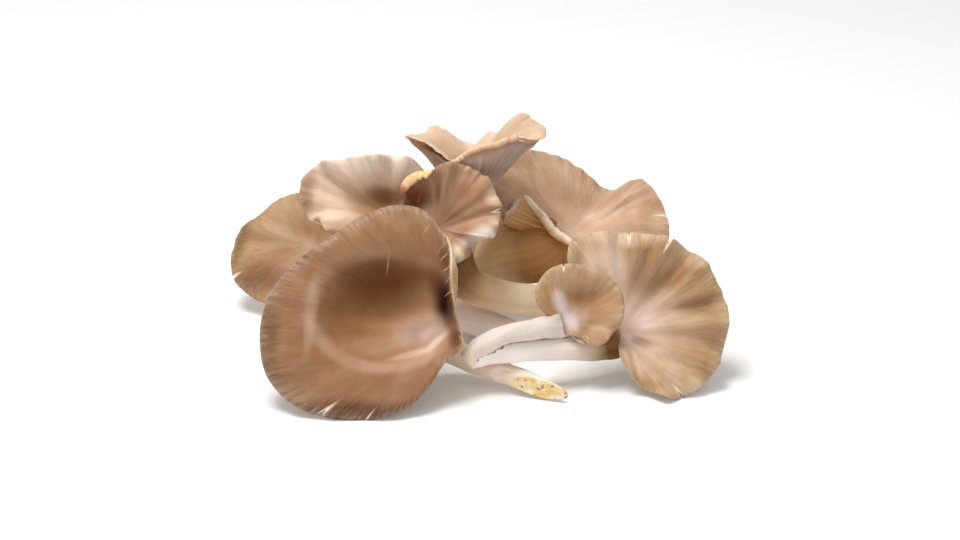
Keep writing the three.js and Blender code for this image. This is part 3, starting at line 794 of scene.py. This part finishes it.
leftBack = {
    "place": (-81, 42), "height": 33, "turn": -20, "tilt": 50, "crown": 2, "folds": (1.3, 7, 1),
    "margin": [
        (27, -6, 0, 2), (21, 8, 1, 3), (8, 19, 2, 4), (-8, 23, 1, 6), (-19, 18, 0, 8), (-29, 7, 0, 8),
        (-36, -3, -1, 8), (-35, -14, -1, 8), (-31, -23, -2, 8), (-21, -29, -2, 7), (-7, -32, -3, 6),
        (8, -27, -3, 4), (20, -17, -2, 3),
    ],
    "swells": [(4, 4, 14, 14, 0, -4, 2)],
    "splits": [(0.6, 5, 0.9)],
    "stem": [(0, 0, 33, 8), (5, 6, 24, 7.5), (18, 11, 11, 6.5), (32, 16, 5.8, 6.5), (44, 20, 5.8, 6.3)],
    "columns": 512, "gills": 64, "frill": 0.5, "ribs": 0.025, "ragged": 0.3, "seed": 23,
}
tanSkin = makeSkin("tan cap skin", {
    "washes": [
        (-12, 3, 12, 5, 0, srgb(206, 178, 150), 0.5),
        (-13, -10, 12, 4, 35, srgb(160, 118, 86), 0.4),
        (-22, -18, 14, 5, 25, srgb(128, 90, 60), 0.65),
        (-19, -22, 16, 6, 20, srgb(116, 78, 50), 0.75),
        (-5, -20, 12, 6, 0, srgb(130, 88, 58), 0.55),
        (-33, -4, 5.5, 18, -6, srgb(118, 84, 56), 0.85),
        (-9, 13, 10, 6, 0, srgb(206, 178, 150), 0.5),
    ],
    "ground": [
        (0.0, srgb(177, 149, 121)), (0.25, srgb(164, 128, 94)), (0.5, srgb(173, 139, 106)),
        (0.75, srgb(182, 151, 116)), (0.92, srgb(166, 130, 92)), (0.985, srgb(149, 111, 71)),
        (1.0, srgb(193, 164, 125)),
    ],
    "dark": srgb(136, 94, 53), "tint": srgb(190, 150, 107),
    "pale": srgb(226, 198, 159), "warm": srgb(228, 196, 155),
    "flesh": srgb(236, 222, 204), "streaks": 0.9,
})
addMushroom("left_back_mushroom", leftBack, tanSkin, creamUnder, freshFoot)

upperLeft = {
    "place": (-43, 18), "height": 59, "turn": -10, "tilt": 50, "crown": 0, "folds": (1.6, 8, 0.5),
    "margin": [
        (18, 2, 3, 1), (20, 14, 9, 2), (13, 22, 12, 4), (2, 24, 12, 6), (-10, 23, 11, 8),
        (-22, 21, 8, 10), (-33, 19, 4, 11), (-40, 13, 0, 11), (-41, 5, -3, 11, 1),
        (-38, -2, -2, 7, 0.5), (-34, -6.5, -1.5, 5.5, 0.5), (-30.5, -7, -1.5, 5.5, 1.5),
        (-26.5, -12, -1, 6, 2.5), (-21, -14, -1, 6, 3), (-14, -12, -3, 6, 1.5), (-6, -13, -6, 4),
        (6, -14, -3, 2), (14, -8, 0, 1),
    ],
    "swells": [(1, 6, 10, 10, 0, -7, 2), (-23, -6, 11, 7, 8, 3, 2), (-14, 5, 11, 4, -35, -3, 2)],
    "splits": [(0.38, 4, 0.8)],
    "stem": [
        (0, 0, 59, 9), (3, 3, 46, 8.5), (14, -2, 26, 8), (32, -8, 14, 7.3), (50, -13, 7.8, 6.6),
        (61, -16, 5.5, 6),
    ],
    "columns": 576, "gills": 72, "frill": 0.6, "ribs": 0.025, "ragged": 0.25, "seed": 37,
}
beigeSkin = makeSkin("beige cap skin", {
    "washes": [
        # the next two: painted shade in the funnel
        (0, 8.5, 11, 4, 0, srgb(112, 64, 30), 0.75),
        (7, 11, 4, 8, -20, srgb(120, 74, 40), 0.5),
        (-13, 4, 9, 3, -30, srgb(184, 150, 126), 0.4),
        (-6, 20, 26, 7, 0, srgb(242, 224, 212), 0.85),
        (-27, 13, 10, 7, 0, srgb(236, 214, 194), 0.7),
        (-36, 16, 3, 8, 30, srgb(170, 136, 110), 0.5),
        (-24, 12, 12, 2, -22, srgb(182, 148, 124), 0.4),
        (-32, 1, 5, 8, 0, srgb(204, 174, 142), 0.5),
        # painted highlight on the top of the lower lobe
        (-22, -4, 11, 4, 8, srgb(230, 208, 182), 0.7),
        (-24, -9, 10, 3, 8, srgb(214, 180, 140), 0.6),
        # the next two: painted shade under the lobe and in the cleft beside it
        (-23, -12.5, 7, 2.5, 5, srgb(152, 96, 58), 0.8),
        (-30.5, -7.5, 2.2, 3, 0, srgb(50, 22, 10), 0.9),
        (-38, 5, 5.5, 12, 0, srgb(142, 106, 80), 0.85),
    ],
    "ground": [
        (0.0, srgb(150, 108, 66)), (0.25, srgb(178, 142, 104)), (0.45, srgb(218, 194, 170)),
        (0.7, srgb(234, 212, 194)), (0.9, srgb(222, 196, 170)), (0.985, srgb(190, 152, 112)),
        (1.0, srgb(226, 198, 158)),
    ],
    "dark": srgb(162, 124, 92), "tint": srgb(196, 164, 134),
    "pale": srgb(244, 230, 212), "warm": srgb(234, 212, 186),
    "flesh": srgb(240, 228, 208), "streaks": 0.8,
})
addMushroom("upper_left_mushroom", upperLeft, beigeSkin, lilacUnder, freshFoot)

upperMiddle = {
    "place": (-18, -9), "height": 65, "turn": 15, "tilt": 55, "crown": 0, "folds": (1.7, 9, 0),
    "margin": [
        (15.5, -9.5, -1, 3), (22.5, -9, 2, 5), (25.5, -4, 3, 6), (28, 4, 4, 6), (27, 12, 4, 6),
        (23, 19, 4, 6), (15, 25, 4, 6), (4.5, 27, 5, 3), (0.5, 25.5, 6, 0, 1), (-3.5, 24, 9, -4, 4),
        (-8, 24, 10, -5, 5), (-12.5, 22.5, 9, -5, 5), (-15.5, 19, 7, -3, 4), (-15, 14.5, 2, 0, 1),
        (-14, 8, 0, 1), (-13, -1, 0, 2), (-7, -14, -3, 3), (3, -18, -3, 3), (12, -15, -2, 4),
    ],
    "swells": [
        (-7, 13, 8, 8, 0, -6, 2), (4, 0, 9, 9, 0, -4, 2), (19, -6, 7, 4, -10, 3.5, 2),
        (6, -14.5, 3, 5, 0, 3.5, 2), (16, 1, 9, 2.5, 8, -2, 2),
    ],
    "splits": [(0.14, 6, 0.9), (0.04, 4, 0.7)],
    "stem": [
        (0, 0, 65, 10), (4, 6, 49, 9.5), (12, 7, 34, 8), (28, 12, 24.5, 7.4), (50, 24, 15, 7.2),
        (64, 29, 6.2, 6.8), (76, 33, 5.7, 6.4),
    ],
    "columns": 576, "gills": 72, "frill": 0.7, "ribs": 0.025, "ragged": 0.3, "seed": 41,
}
greySkin = makeSkin("grey-brown cap skin", {
    "streaksFrom": (-0.65, 0.0),
    "washes": [
        # painted shadow cast on the cap by its rolled margin
        (-9, 13, 7, 6, 0, srgb(112, 42, 8), 0.9),
        (-6, 15, 0.9, 5, -20, srgb(176, 110, 64), 0.6),
        (-10.5, 14, 0.7, 4, -30, srgb(160, 92, 50), 0.5),
        (2, 17, 1.5, 9, -8, srgb(112, 72, 56), 0.6),
        (6, 18, 1.2, 8, -18, srgb(132, 88, 62), 0.5),
        (-1, 7, 7, 5, 0, srgb(190, 152, 128), 0.5),
        (12, 14, 5, 5, 20, srgb(150, 98, 62), 0.5),
        (9, 23, 13, 4, -4, srgb(146, 108, 76), 0.5),
        (21, 5, 7, 5, 0, srgb(148, 112, 82), 0.5),
        (24, 4, 8, 1.6, 0, srgb(130, 80, 44), 0.7),
        (19, 0, 8, 4, 10, srgb(196, 160, 132), 0.5),
        (17, -7, 7, 3.5, -5, srgb(150, 108, 74), 0.4),
        # a lower lobe lit from the floor below: painted highlight
        (18, -9, 9, 5.5, 5, srgb(255, 250, 238), 1.0),
        (25.5, -2, 4, 3, 0, srgb(232, 208, 186), 0.7),
        (25, 10, 4, 5, 0, srgb(230, 206, 184), 0.7),
        # the next two: a cream lower lobe brightened with painted highlight, and painted shadow beside it
        (6, -15, 3.5, 5.5, 0, srgb(255, 246, 218), 0.95),
        (12, -14, 3, 5, 0, srgb(116, 62, 28), 0.7),
        (3, -4, 9, 4, 0, srgb(186, 150, 124), 0.4),
    ],
    "ground": [
        (0.0, srgb(164, 128, 100)), (0.25, srgb(168, 132, 104)), (0.5, srgb(178, 142, 112)),
        (0.75, srgb(182, 146, 116)), (0.92, srgb(178, 140, 104)), (0.985, srgb(164, 124, 84)),
        (1.0, srgb(226, 196, 152)),
    ],
    "dark": srgb(120, 80, 54), "tint": srgb(170, 130, 102),
    "pale": srgb(226, 198, 166), "warm": srgb(224, 192, 162),
    "flesh": srgb(238, 222, 198), "streaks": 1.0,
})
addMushroom("upper_middle_mushroom", upperMiddle, greySkin, goldenUnder, freshFoot)

topSmall = {
    "place": (-4, 24), "height": 69.3, "turn": 0, "tilt": 15, "crown": 20, "folds": (0.4, 7, 0),
    "margin": [
        (34, 7, 26, 2), (32, 10.5, 27.5, 1), (28, 14, 27, 1), (26, 17, 28.5, 1), (22.5, 19.5, 27.5, 1),
        (18, 20, 23.5, 0), (14.5, 20, 18, 0), (11.5, 20, 16, 0), (7, 21.5, 15, 0), (2, 19, 11, 0),
        (-3, 20, 10.5, 0), (-8.5, 21, 14.5, 0), (-14, 21, 18, 1), (-19, 18, 21, 1), (-21, 12, 21.5, 0),
        (-25, 7.5, 24, 0), (-30, 3.5, 27, 1), (-25, -1, 28, 1.5), (-20.5, -4, 28, 2), (-15, -7, 25, 2),
        (-10, -9, 21.5, 2, 0.5), (-6, -10, 21.5, 2, 1), (-1, -10, 25, 2.5, 1.5), (5.5, -9, 29, 3, 1.5),
        (12, -8, 29.5, 3, 1.5), (20, -4, 30, 3, 1.5), (27.5, 0, 27, 2, 1), (32.5, 3, 25.5, 2),
    ],
    "swells": [(-9, -5, 9, 3, -30, 2, 2)],
    "splits": [],
    "stem": [(0, 0, 70, 8), (-1, 2, 56, 7), (-5, 3, 30, 6), (-6, 4, -0.6, 6.5)],
    "columns": 640, "gills": 80, "frill": 0.5, "ribs": 0.025, "ragged": 0.2, "seed": 53,
}
paleSkin = makeSkin("pale cap skin", {
    "washes": [
        (-14, 14, 8, 6, 0, srgb(218, 188, 164), 0.5),
        (0, 0, 9, 9, 0, srgb(196, 160, 134), 0.5),
        (26, 13, 10, 7, 0, srgb(190, 160, 136), 0.8),
    ],
    "ground": [
        (0.0, srgb(185, 155, 124)), (0.4, srgb(205, 178, 154)), (0.8, srgb(212, 190, 168)),
        (0.97, srgb(209, 186, 160)), (1.0, srgb(220, 206, 187)),
    ],
    "dark": srgb(206, 158, 115), "tint": srgb(220, 184, 145),
    "pale": srgb(248, 230, 203), "warm": srgb(240, 212, 179),
    "flesh": srgb(244, 232, 214), "streaks": 0.6,
})
addMushroom("top_small_mushroom", topSmall, paleSkin, roseUnder, freshFoot)

backRight = {
    "place": (42, 35), "height": 42, "turn": 0, "tilt": 30, "crown": 1, "folds": (1, 8, 0),
    "margin": [
        (45, -6, 2, 4), (44, 9, 4, 4), (40, 19, 5, 4), (34, 26, 6, 3), (26, 28, 0, 2), (17, 30, -5, 2),
        (6, 36, 0, 2), (-6, 40, 7, 2), (-17, 38, 12, 2), (-26, 31, 16, 2), (-34, 22, 17, 2),
        (-38.5, 13, 16, 3), (-37.5, 5, 12.5, 5), (-34, 0.5, 11.5, 5, 1), (-28.5, 3, 11.5, 6, 2),
        (-24.5, 10, 13, 7, 3.2), (-17, 4, 11, 7, 3.2), (-12, -1, 8.5, 7, 3), (-8, -5.5, 6.5, 6, 3),
        (-3, -9.5, 5.5, 5, 2), (2, -13, 5, 5), (9, -15, 8, 5), (23, -19, 8, 4), (37, -16, 6, 4),
    ],
    "swells": [(14, 12, 12, 12, 0, -4, 2), (28, 6, 9, 9, 0, 3, 2), (-10.5, 2.5, 14, 3, -38, 1.2, 2)],
    "splits": [(0.05, 4, 0.8)],
    "stem": [
        (0, 0, 42, 8), (-12, 3, 34.5, 15.5), (-27, 6, 30.3, 16), (-44, 12, 19.5, 11.5),
        (-61, 16, 8.6, 8.4), (-75, 19, 6.4, 7),
    ],
    "columns": 640, "gills": 80, "frill": 0.5, "ribs": 0.025, "ragged": 0.25, "seed": 67,
}
pinkSkin = makeSkin("pinkish cap skin", {
    "washes": [
        (14, 10, 9, 6, 20, srgb(226, 200, 178), 0.6),
        (28, 5, 14, 3.5, -5, srgb(214, 182, 152), 0.5),
        (30, 16, 12, 2, 25, srgb(150, 108, 76), 0.45),
        (20, 12, 10, 1.6, 28, srgb(160, 118, 86), 0.4),
        (36, 12, 5, 8, 0, srgb(190, 152, 122), 0.4),
        (-26, 33, 7, 8, 0, srgb(126, 84, 52), 0.7),
        (-2, 20, 10, 7, 0, srgb(168, 128, 100), 0.35),
        # the next three: the lip's own pale tone, raised to near white as painted highlight
        (-20, 6.5, 7, 3, -34, srgb(255, 236, 216), 0.95),
        (-12, 0.5, 7, 3, -40, srgb(255, 236, 216), 0.95),
        (-4, -7, 8, 3.5, -38, srgb(255, 236, 216), 0.95),
        (-14, 12, 14, 3, -35, srgb(176, 132, 106), 0.4),
    ],
    "ground": [
        (0.0, srgb(210, 185, 162)), (0.2, srgb(208, 178, 152)), (0.5, srgb(198, 168, 142)),
        (0.8, srgb(198, 168, 142)), (0.93, srgb(182, 149, 116)), (0.985, srgb(186, 155, 123)),
        (1.0, srgb(221, 204, 182)),
    ],
    "dark": srgb(150, 106, 67), "tint": srgb(190, 150, 111),
    "pale": srgb(230, 200, 165), "warm": srgb(226, 192, 157),
    "flesh": srgb(240, 226, 206), "streaks": 0.9,
})
addMushroom("back_right_mushroom", backRight, pinkSkin, oliveUnder, freshFoot)

rightFan = {
    "place": (63, -32), "height": 25, "turn": 8, "tilt": 55, "crown": 2, "folds": (2.4, 9, 0.6),
    "margin": [
        (46, -3, 4, 7), (47, 8, 4, 7), (43, 19, 5, 7), (37, 29, 5, 7), (27, 37, 6, 6), (14, 41, 7, 5),
        (0, 43, 7, 5), (-13, 42, 7, 4), (-22, 38, 7, 4), (-23, 27, 6, 2), (-16, 15, 3, 2),
        (-8, 6, 0, 2), (-3, -2, -1, 2), (-3, -12, 0, 3), (1, -22, 2, 5), (8, -28, 3, 7),
        (19, -33, 4, 8), (30, -29, 4, 8), (39, -21, 3, 8), (44, -12, 3, 7),
    ],
    "swells": [
        (5, 10, 12, 12, 0, -3, 2), (8, -6, 7, 3.5, -25, -3, 2), (0, -15, 3.5, 9, 15, 2.5, 2),
        (25, 22, 15, 3.2, 42, -3, 2), (32, 8, 15, 3, 5, -3, 2), (15, 33, 13, 3.5, 66, -2.4, 2),
        (-9, 28, 15, 3.5, 100, -1.6, 2), (34, -12, 12, 2.2, -18, -1.6, 2),
    ],
    "splits": [(0.3, 5, 0.8), (0.22, 8, 0.9), (0.83, 8, 1)],
    "stem": [
        (0, 0, 25, 9), (-5, 1, 19, 7.5), (-16, -2, 17.5, 6), (-38, -8, 19.5, 5.2),
        (-60, -11.5, 18.4, 4.7), (-68, -12.5, 16.2, 4.7),
    ],
    "columns": 720, "gills": 90, "frill": 0.6, "ribs": 0.025, "ragged": 0.3, "seed": 71,
}
lightSkin = makeSkin("light cap skin", {
    "washes": [
        (6, 4, 8, 8, 0, srgb(208, 182, 170), 0.7),
        # the pale left part: partly its own pale tone, partly painted highlight
        (-7, 24, 11, 19, 10, srgb(252, 232, 214), 0.85),
        (6, 39, 16, 4.5, 0, srgb(236, 210, 186), 0.65),
        (23, -28, 12, 4, 8, srgb(242, 218, 184), 0.7),
        # painted shade along a furrow
        (25, 22, 8, 4, 42, srgb(134, 88, 54), 0.6),
        (13, 22, 9, 9, 40, srgb(138, 96, 64), 0.6),
        # the next three: painted shade along furrows
        (33, 8, 9, 3.5, 5, srgb(140, 98, 64), 0.6),
        (15, 33, 9, 5, 65, srgb(158, 118, 84), 0.4),
        (8, -6, 5, 2.5, -25, srgb(150, 98, 60), 0.6),
        (15, -20, 16, 6, -20, srgb(224, 200, 174), 0.6),
        (1, -14, 4, 9, 20, srgb(226, 204, 186), 0.6),
        (33, 27, 5, 3, 40, srgb(206, 180, 156), 0.5),
        (39, -3, 8, 1.5, 0, srgb(180, 136, 94), 0.4),
        (29, -11, 10, 4, -20, srgb(204, 174, 146), 0.4),
    ],
    "ground": [
        (0.0, srgb(220, 204, 196)), (0.25, srgb(212, 190, 174)), (0.5, srgb(190, 160, 132)),
        (0.75, srgb(171, 138, 102)), (0.93, srgb(182, 151, 112)), (0.985, srgb(177, 141, 94)),
        (1.0, srgb(210, 183, 137)),
    ],
    "dark": srgb(146, 104, 63), "tint": srgb(186, 146, 103),
    "pale": srgb(234, 210, 175), "warm": srgb(228, 196, 155),
    "flesh": srgb(240, 228, 208), "streaks": 0.9,
})

smallFront = {
    "place": (38, -37), "height": 31, "turn": 0, "tilt": 60, "crown": 0, "folds": (0.6, 6, 0),
    "margin": [
        (24, 0, 3, 5), (25, 9, 3, 6), (22, 16, 3, 6), (15, 22, 4, 6), (6, 25, 4, 6), (-3, 25, 4, 6),
        (-10, 21, 4, 6), (-14, 13, 3, 5), (-12, 6, 3, 4), (-6, 1, 1, 1), (0, -5, 0, 2), (6, -7, 1, 3),
        (11, -11, 1, 5), (17, -9, 1, 4), (20, -5, 2, 4),
    ],
    "swells": [(8.5, 11.5, 7, 6.5, 0, -5, 2), (-2, 6, 9, 3, 112, 1.8, 2)],
    "splits": [(0.37, 5, 0.7)],
    "stem": [
        (0, 0, 31, 7), (-3, 1, 29, 5.5), (-12, -4, 30, 4.6), (-26, -6.5, 28.5, 4.3),
        (-37, -7.3, 23, 4.5), (-43, -7.5, 16.2, 4.7),
    ],
    "columns": 416, "gills": 52, "frill": 0.35, "ribs": 0.025, "ragged": 0.2, "seed": 83,
}
smallSkin = makeSkin("small cap skin", {
    "washes": [
        # painted shade in the hollow at the centre
        (8.5, 11, 6, 6, 0, srgb(154, 112, 76), 0.65),
        (-3, 9, 6, 3.5, 110, srgb(220, 204, 202), 0.8),
        (1.5, 0, 5, 3.5, 110, srgb(220, 204, 202), 0.8),
        (2, 18, 9, 5, 0, srgb(200, 166, 134), 0.5),
        (-7, 3, 4, 3, 0, srgb(186, 140, 84), 0.5),
        (14, -4, 5, 2.5, 0, srgb(222, 196, 170), 0.6),
    ],
    "ground": [
        (0.0, srgb(210, 199, 197)), (0.15, srgb(190, 168, 153)), (0.38, srgb(164, 128, 94)),
        (0.62, srgb(179, 147, 114)), (0.85, srgb(188, 159, 127)), (0.985, srgb(177, 145, 108)),
        (1.0, srgb(219, 204, 178)),
    ],
    "dark": srgb(150, 106, 63), "tint": srgb(192, 154, 113),
    "pale": srgb(232, 208, 175), "warm": srgb(230, 198, 159),
    "flesh": srgb(240, 228, 208), "streaks": 0.8,
})

# the fan and the small cap grew together at their foot
fan = growMushroom("right_twin_mushrooms_flesh", rightFan, lightSkin, shadedUnder, freshFoot)
small = growMushroom("small_front_half", smallFront, smallSkin, whiteUnder, freshFoot)
union = fan.modifiers.new("grown together", "BOOLEAN")
union.operation = "UNION"
union.solver = "MANIFOLD"
union.object = small
union.material_mode = "TRANSFER"
bpy.context.view_layer.update()
joined = bpy.data.meshes.new_from_object(fan.evaluated_get(bpy.context.evaluated_depsgraph_get()))
fan.modifiers.clear()
fan.data = joined
bpy.data.objects.remove(small)
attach(fan, "root")
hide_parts("right_twin_mushrooms")
print("the two right mushrooms joined at their foot:", len(joined.polygons), "faces")

studio = {
    "floorSize": 12.0, "floorColour": (0.93, 0.93, 0.925), "floorRoughness": 0.3,
    "world": 0.62, "key": 8.6, "keyPlace": (-0.22, -0.1, 1.0), "keySize": 0.4,
    "fill": 1.2, "fillPlace": (-0.5, -0.8, 0.45), "fillSize": 0.8,
}
view = {"target": Vector((0.0038, 0.0017, 0.039)), "elevation": 25.0, "distance": 1.1, "lens": 91.67}

bm = bmesh.new()
bmesh.ops.create_grid(bm, x_segments=2, y_segments=2, size=studio["floorSize"] / 2)
floorMesh = bpy.data.meshes.new("floor")
bm.to_mesh(floorMesh)
bm.free()
floor = bpy.data.objects.new("floor", floorMesh)
bpy.context.scene.collection.objects.link(floor)
material, tree, shader = newMaterial("white floor")
shader.inputs["Base Color"].default_value = (*studio["floorColour"], 1)
shader.inputs["Roughness"].default_value = studio["floorRoughness"]
shader.inputs["Specular IOR Level"].default_value = 0.3
floorMesh.materials.append(material)


def softLight(name, place, size, power):
    data = bpy.data.lights.new(name, "AREA")
    data.energy = power
    data.shape = "SQUARE"
    data.size = size
    light = bpy.data.objects.new(name, data)
    light.location = place
    light.rotation_euler = (view["target"] - Vector(place)).to_track_quat("-Z", "Y").to_euler()
    bpy.context.scene.collection.objects.link(light)


softLight("key light", studio["keyPlace"], studio["keySize"], studio["key"])
softLight("fill light", studio["fillPlace"], studio["fillSize"], studio["fill"])

world = bpy.data.worlds.new("white room")
world.use_nodes = True
world.node_tree.nodes["Background"].inputs[0].default_value = (1, 1, 1, 1)
world.node_tree.nodes["Background"].inputs[1].default_value = studio["world"]
bpy.context.scene.world = world

elevation = math.radians(view["elevation"])
backward = Vector((0, -math.cos(elevation), math.sin(elevation)))
camera = bpy.data.objects.new("camera", bpy.data.cameras.new("camera"))
camera.data.lens = view["lens"]
camera.data.sensor_width = 36
camera.data.clip_start = 0.01
camera.location = view["target"] + backward * view["distance"]
camera.rotation_euler = (-backward).to_track_quat("-Z", "Y").to_euler()
bpy.context.scene.collection.objects.link(camera)
bpy.context.scene.camera = camera
bpy.context.scene.view_settings.view_transform = "Standard"
print("floor, lights and camera set")
